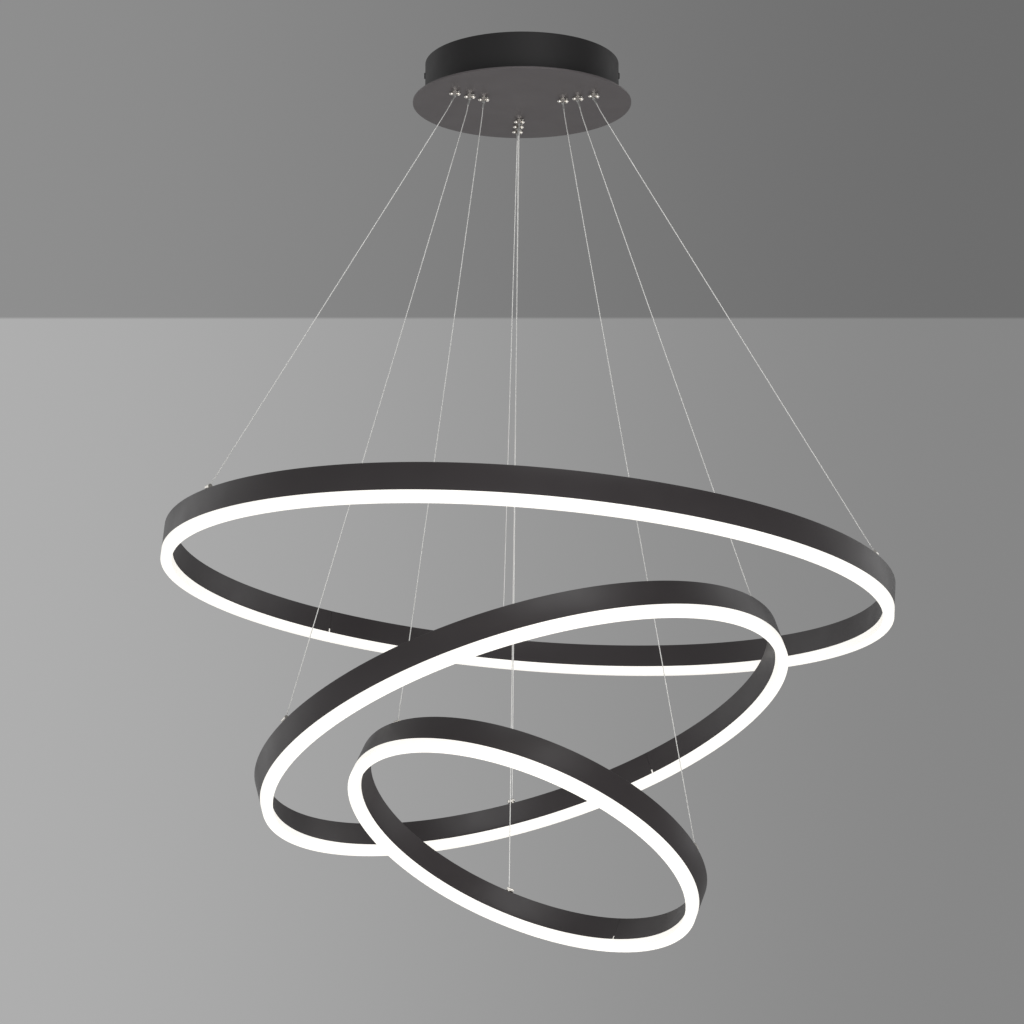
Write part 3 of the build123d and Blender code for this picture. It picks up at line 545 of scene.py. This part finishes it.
class CHANDELIER_OT_stage(PieceOperator, bpy.types.Operator):
    """Set the camera at the photograph's angle, the pale floor and the soft studio light"""
    bl_idname = "chandelier.stage"
    bl_label = "Stage"

    def execute(self, context):
        scene, finish = context.scene, context.scene.chandelier.finish
        scene.view_settings.view_transform = "Standard"
        camera = bpy.data.objects.new("camera", bpy.data.cameras.new("camera"))
        camera.data.lens, camera.data.sensor_width = LENS, SENSOR
        camera.location = CAMERA_PLACE
        camera.rotation_euler = (pi / 2 + CAMERA_RISE, 0.0, 0.0)
        scene.collection.objects.link(camera)
        scene.camera = camera
        for name, place, aim, width, height, power in LIGHTS:
            light = bpy.data.lights.new(name, "AREA")
            light.shape, light.size, light.size_y, light.energy = "RECTANGLE", width, height, power
            lamp = bpy.data.objects.new(name, light)
            lamp.location = place
            lamp.rotation_mode = "QUATERNION"
            lamp.rotation_quaternion = (Vector(aim) - Vector(place)).to_track_quat("-Z", "Y")
            lamp.visible_camera = False
            scene.collection.objects.link(lamp)
        scene.world = self.paint_room(finish)
        self.lay_floor(finish)
        return {"FINISHED"}

    def paint_room(self, finish):
        """A grey room, brighter on one side and darker above its ceiling line.

        That line lies where z / max(|x|, |y|) of a direction is the slope of the line of sight to it.
        """
        world = bpy.data.worlds.new("room")
        world.use_nodes = True
        tree = world.node_tree
        tree.nodes.clear()
        sight = add(tree, "ShaderNodeTexCoord").outputs["Generated"]
        parts = add(tree, "ShaderNodeSeparateXYZ", {"Vector": sight})
        side = add(tree, "ShaderNodeMapRange", {"Value": parts.outputs["X"], "From Min": -0.3,
                                                "From Max": 0.25}, interpolation_type="SMOOTHSTEP")
        away = [add(tree, "ShaderNodeMath", {0: parts.outputs[axis]}, operation="ABSOLUTE") for axis in "XY"]
        level = add(tree, "ShaderNodeMath", {0: away[0].outputs["Value"], 1: away[1].outputs["Value"]},
                    operation="MAXIMUM")
        slope = add(tree, "ShaderNodeMath", {0: parts.outputs["Z"], 1: level.outputs["Value"]},
                    operation="DIVIDE")
        height = add(tree, "ShaderNodeMapRange", {
            "Value": slope.outputs["Value"], "From Min": CEILING_LINE - CEILING_EDGE,
            "From Max": CEILING_LINE + CEILING_EDGE, "To Min": 1.0, "To Max": finish.overhead})
        tone = add(tree, "ShaderNodeMix", {"Factor": side.outputs["Result"]}, data_type="RGBA")
        tone.inputs["A"].default_value = tuple(finish.bright_side)
        tone.inputs["B"].default_value = tuple(finish.dim_side)
        light = add(tree, "ShaderNodeBackground", {"Color": tone.outputs["Result"],
                                                   "Strength": height.outputs["Result"]})
        add(tree, "ShaderNodeOutputWorld", {"Surface": light.outputs["Background"]})
        return world

    def lay_floor(self, finish):
        """A pale disc 6 m across, well below the lamp: z is level and the rim is r (cos t, sin t)."""
        sides = 96
        turn = np.arange(sides) * tau / sides
        rim = [FLOOR_RADIUS * np.cos(turn), FLOOR_RADIUS * np.sin(turn), np.full(sides, FLOOR_LEVEL)]
        floor = make_mesh("floor", np.stack(rim, axis=1), [np.arange(sides)])
        # Matt floor paint: pale and even, so that it only lifts the shadows.
        paint = plain_finish("pale_floor_paint", finish.floor, 1.5, (0.6, 0.7), 3 * MM, 0.01 * MM)
        floor.data.materials.append(paint)


class CHANDELIER_OT_wires(PieceOperator, bpy.types.Operator):
    """Hang the nine stranded steel wires between their grippers and the rings' anchors"""
    bl_idname = "chandelier.wires"
    bl_label = "Wires"

    def execute(self, context):
        settings = context.scene.chandelier
        steel = stranded_steel(settings.finish, settings.wire.lay)
        for place, ring in self.ring_frames(settings):
            for row, azimuth in ROWS.items():
                self.hang(settings.wire, place, ring, row, azimuth, steel)
        return {"FINISHED"}

    def hang(self, sizes, place, ring, row, azimuth, steel):
        """One wire: down through its gripper, round the bend in its sleeve and straight to its anchor.

        Below the bend it bows out by sizes.bow, away from the side that it leans to, and by less where it
        hangs nearly upright.
        """
        least_lean = 0.3
        foot = place.gripper_radius * np.array([cos(azimuth), sin(azimuth), 0.0])
        top, bend = foot + [0, 0, sizes.top], foot + [0, 0, sizes.bend]
        hold = ring.points(0, azimuth + place.turn, sizes.hold)
        pull = (hold - bend) / np.linalg.norm(hold - bend)
        inward = np.array([0.0, 0.0, -1.0]) + pull * pull[2]
        inward *= sizes.bow / max(np.linalg.norm(inward), least_lean)
        route = np.array([
            top,
            bend + [0, 0, sizes.stand],
            bend,
            bend + pull * sizes.stand,
            bend + pull * sizes.bow_reach + inward,
            hold - pull * sizes.stand,
            hold,
        ])
        path = spline_points(route)
        name = f"wire_{place.number}_{row}"
        wire = wire_tube(f"steel_{name}", path, sizes.diameter)
        wire.data.materials.append(steel)
        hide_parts(name)
        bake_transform(wire)


class CHANDELIER_OT_profiles(PieceOperator, bpy.types.Operator):
    """Carry the ring profiles round, each with its seam, notch and holes"""
    bl_idname = "chandelier.profiles"
    bl_label = "Ring profiles"

    def execute(self, context):
        settings = context.scene.chandelier
        paint = charcoal_powder_coat(settings.finish)
        for place, ring in self.ring_frames(settings):
            profile = self.carry(settings.profile, place, ring)
            profile = drilled(profile, self.holes(settings.profile, place, ring))
            profile.data.materials.clear()
            profile.data.materials.append(paint)
            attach(profile, f"ring_{place.number}")
            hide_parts(f"profile_{place.number}")
        return {"FINISHED"}

    def carry(self, sizes, place, ring):
        """The rounded section carried round the ring from one face of the seam to the other.

        Between the seam and the notch's sides the inner lip stands higher by the notch's height.
        """
        steps, half, fillet = 5, sizes.width / 2, 0.2 * MM
        inner = half - sizes.wall
        web_top, duct_top = sizes.channel + sizes.web, sizes.height - sizes.top_wall
        outline = rounded(
            [(-half, 0), (-inner, 0), (-inner, sizes.channel), (inner, sizes.channel), (inner, 0), (half, 0),
             (half, sizes.height), (-half, sizes.height)],
            [*[sizes.edge] * 2, *[fillet] * 2, *[sizes.edge] * 2, *[sizes.corner] * 2], steps)
        notch_top = sizes.notch_height + sizes.edge
        lips = 2 * steps
        outline = np.concatenate([outline[:lips], [(-inner, notch_top)],
                                  outline[lips:], [(-half, notch_top)]])
        duct = np.array([(-inner, web_top), (inner, web_top), (inner, duct_top), (-inner, duct_top)])
        gap, notch = sizes.seam_gap / 2 / ring.middle, sizes.notch_width / 2 / ring.middle
        round_way = np.linspace(notch, tau - notch, 360)
        azimuths = place.seam + np.concatenate([[gap, notch], round_way, [tau - notch, tau - gap]])
        raised = np.zeros((len(azimuths), len(outline)))
        raised[np.ix_([0, 1, -2, -1], np.arange(lips))] = sizes.notch_height
        skin = ring.points(outline[:, 0][None], azimuths[:, None], outline[:, 1][None] + raised)
        bore = ring.points(duct[:, 0][None], azimuths[:, None], duct[:, 1][None])
        points = np.concatenate([skin.reshape(-1, 3), bore.reshape(-1, 3)])
        columns, rows, first = len(azimuths), len(outline), len(azimuths) * len(outline)
        faces = [*grid_faces(columns, rows, closed=False),
                 *(grid_faces(columns, 4, closed=False)[:, ::-1] + first)]
        d1, d2, d3, d4 = range(first, first + 4)
        lids = [
            [*range(0, 3 * steps + 1), d1, d4, 8 * steps, 8 * steps + 1],
            [3 * steps, 3 * steps + 1, d2, d1],
            [*range(3 * steps + 1, 6 * steps + 2), d3, d2],
            [d4, d3, *range(6 * steps + 1, 8 * steps + 1)],
        ]
        # The same corners on the seam's other face lie a whole skin or a whole bore further on.
        skin_span, bore_span = rows * (columns - 1), 4 * (columns - 1)
        far_lids = [[index + (bore_span if index >= first else skin_span) for index in lid][::-1]
                    for lid in lids]
        faces += lids + far_lids
        return make_mesh(f"ring_profile_{place.number}", points, faces)

    def holes(self, sizes, place, ring):
        """Pins for the holes of three anchors and four seam screws through the top wall."""
        anchors = [azimuth + place.turn for azimuth in ROWS.values()]
        screws = [place.seam + offset / ring.middle for offset in SEAM_SCREWS]
        diameters = [sizes.anchor_hole] * len(anchors) + [sizes.screw_hole] * len(screws)
        into_duct = 0.6 * sizes.top_wall
        return pins(ring, anchors + screws, diameters, sizes.height - sizes.top_wall - into_duct,
                    sizes.height + sizes.top_wall)


class CHANDELIER_OT_diffusers(PieceOperator, bpy.types.Operator):
    """Carry the lit opal diffusers round below the profiles"""
    bl_idname = "chandelier.diffusers"
    bl_label = "Diffusers"

    def execute(self, context):
        settings = context.scene.chandelier
        opal = opal_acrylic(settings.finish)
        for place, ring in self.ring_frames(settings):
            diffuser = self.carry(settings.profile, settings.diffuser, place, ring)
            diffuser.data.materials.append(opal)
            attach(diffuser, f"ring_{place.number}")
            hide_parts(f"diffuser_{place.number}")
        return {"FINISHED"}

    def carry(self, profile, sizes, place, ring):
        """The rounded section of the opal carried once round the ring.

        The map's u is metres round the ring, and its v is metres round the section.
        """
        half, neck = profile.width / 2, profile.width / 2 - profile.wall - sizes.neck_gap
        hollow, fillet, step_corner = neck - sizes.side, 0.25 * MM, 0.15 * MM
        outline = rounded(
            [(-half, -sizes.drop), (half, -sizes.drop), (half, 0), (neck, 0), (neck, sizes.neck),
             (hollow, sizes.neck), (hollow, sizes.floor - sizes.drop), (-hollow, sizes.floor - sizes.drop),
             (-hollow, sizes.neck), (-neck, sizes.neck), (-neck, 0), (-half, 0)],
            [*[sizes.corner] * 2, *[step_corner] * 2, *[fillet] * 6, *[step_corner] * 2], 5)
        columns = 360
        azimuths = place.seam + np.arange(columns) * tau / columns
        points = ring.points(outline[:, 0][None], azimuths[:, None], outline[:, 1][None])
        faces = grid_faces(columns, len(outline), closed=True)
        step = tau / columns * ring.middle
        u = np.arange(columns)[:, None] * step
        sides = np.linalg.norm(np.roll(outline, -1, axis=0) - outline, axis=1)
        top = np.cumsum(sides)[None, :]
        low = top - sides
        corners = [(u, low), (u + step, low), (u + step, top), (u, top)]
        uv = np.stack([np.stack(np.broadcast_arrays(*corner), axis=-1) for corner in corners], axis=2)
        return make_mesh(f"opal_diffuser_{place.number}", points, faces, uv=uv)


class CHANDELIER_OT_ring_fittings(PieceOperator, bpy.types.Operator):
    """Finish the anchors, bushes, screws, light tapes, joiners and leads of the rings"""
    bl_idname = "chandelier.ring_fittings"
    bl_label = "Ring fittings"

    def execute(self, context):
        finish = context.scene.chandelier.finish
        dress(per_ring("wire_anchors"), polished_nickel(finish))
        # Hardened steel screws: oiled and dark, with a dull glint.
        dress(per_ring("grub_screws"), plain_finish("oiled_steel", "#7b7873", 1.5, (0.3, 0.42), 0.8 * MM,
                                                    0.004 * MM, Metallic=1.0))
        # Moulded nylon: near black and matt, so the bushes read as thin dark rings under the anchors.
        dress(per_ring("anchor_bushes"), plain_finish("black_nylon", "#1c1c1c", 1.53, (0.5, 0.6), 0.8 * MM,
                                                      0.01 * MM))
        # White solder mask of the light tape, slightly glossy.
        dress(per_ring("led_tape"), plain_finish("white_light_tape", "#efe9d6", 1.5, (0.35, 0.45), 1.2 * MM,
                                                 0.01 * MM))
        # Mill-finish extruded aluminium of the joiners: pale grey with a soft sheen.
        dress(per_ring("splice_bar"), plain_finish("mill_aluminium", "#c9cacb", 1.5, (0.3, 0.4), 1.0 * MM,
                                                   0.006 * MM, Metallic=1.0))
        # Soft vinyl insulation: brown, smooth and faintly glossy.
        dress(per_ring("feed_leads"), plain_finish("brown_vinyl", "#5b3a2a", 1.53, (0.35, 0.45), 1.5 * MM,
                                                   0.01 * MM))
        return {"FINISHED"}


class CHANDELIER_OT_grippers(PieceOperator, bpy.types.Operator):
    """Finish the nine cable grippers with their knobs, bushes and sleeves"""
    bl_idname = "chandelier.grippers"
    bl_label = "Grippers"

    def execute(self, context):
        finish = context.scene.chandelier.finish
        knobs = [f"lock_knob_{number}_{row}" for number in (1, 2, 3) for row in ROWS]
        dress(["gripper_stems", "gripper_bodies", *knobs], polished_nickel(finish))
        dress(["stem_bushes"], bpy.data.materials["black_nylon"])
        # Clear silicone sleeve: greyish, soft and slightly see-through at its rim.
        dress(["wire_sleeves"], plain_finish("clear_silicone", "#b4b4b2", 1.41, (0.3, 0.4), 1.0 * MM,
                                             0.01 * MM, Transmission_Weight=0.35))
        return {"FINISHED"}


class CHANDELIER_OT_canopy(PieceOperator, bpy.types.Operator):
    """Finish the canopy's drum, plate, bracket and side screws"""
    bl_idname = "chandelier.canopy"
    bl_label = "Canopy"

    def execute(self, context):
        finish = context.scene.chandelier.finish
        dress(["canopy_drum", "side_screws"], black_powder_coat(finish))
        dress(["canopy_plate"], grey_lacquer(finish))
        dress(["ceiling_bracket"], zinc_plate(finish))
        return {"FINISHED"}


class CHANDELIER_OT_wiring(PieceOperator, bpy.types.Operator):
    """Finish the drivers, terminal block, nuts and leads in the canopy"""
    bl_idname = "chandelier.wiring"
    bl_label = "Canopy wiring"

    def execute(self, context):
        # Moulded polycarbonate: plain white with a fine spark-eroded texture.
        dress(per_ring("led_driver"), plain_finish("white_polycarbonate", "#e4e3df", 1.58, (0.5, 0.62),
                                                   1.0 * MM, 0.02 * MM))
        # Moulded polyamide of the terminal block: pale and a little waxy.
        dress(["terminal_block"], plain_finish("pale_polyamide", "#d5d2c8", 1.53, (0.4, 0.5), 1.2 * MM,
                                               0.01 * MM, Subsurface_Weight=0.1))
        dress(["m4_nuts", "m3_nuts", "terminal_screws"], bpy.data.materials["zinc_plate"])
        # Vinyl insulation of the supply leads and of the leads to the rings.
        dress(["mains_leads"], plain_finish("black_vinyl", "#222121", 1.53, (0.35, 0.45), 1.5 * MM,
                                            0.01 * MM))
        dress(["output_leads"], bpy.data.materials["brown_vinyl"])
        dress(["earth_lead"], plain_finish("green_vinyl", "#6f8f2a", 1.53, (0.35, 0.45), 1.5 * MM,
                                           0.01 * MM))
        return {"FINISHED"}


OPERATORS = (CHANDELIER_OT_stage, CHANDELIER_OT_wires, CHANDELIER_OT_profiles, CHANDELIER_OT_diffusers,
             CHANDELIER_OT_ring_fittings, CHANDELIER_OT_grippers, CHANDELIER_OT_canopy, CHANDELIER_OT_wiring)


class CHANDELIER_PT_sidebar(bpy.types.Panel):
    """The chandelier's tools in the 3D view's sidebar"""
    bl_label = "LED ring chandelier"
    bl_idname = "CHANDELIER_PT_sidebar"
    bl_space_type = "VIEW_3D"
    bl_region_type = "UI"
    bl_category = "Chandelier"

    def draw(self, context):
        for operator in OPERATORS:
            self.layout.operator(operator.bl_idname)
        settings = context.scene.chandelier
        for group in (*settings.rings, settings.profile, settings.diffuser, settings.wire, settings.finish):
            box = self.layout.box()
            for name in group.__annotations__:
                box.prop(group, name)


CLASSES = (RingPlace, ProfileSizes, DiffuserSizes, WireSizes, Finishes, ChandelierSettings, *OPERATORS,
           CHANDELIER_PT_sidebar)


def register():
    for cls in CLASSES:
        bpy.utils.register_class(cls)
    bpy.types.Scene.chandelier = PointerProperty(type=ChandelierSettings)


def unregister():
    del bpy.types.Scene.chandelier
    for cls in reversed(CLASSES):
        bpy.utils.unregister_class(cls)


def main():
    """Build everything in order."""
    register()
    fill_rings(bpy.context.scene.chandelier)
    bpy.ops.chandelier.stage()
    bpy.ops.chandelier.wires()
    bpy.ops.chandelier.profiles()
    bpy.ops.chandelier.diffusers()
    bpy.ops.chandelier.ring_fittings()
    bpy.ops.chandelier.grippers()
    bpy.ops.chandelier.canopy()
    bpy.ops.chandelier.wiring()


if __name__ == "__main__":
    main()
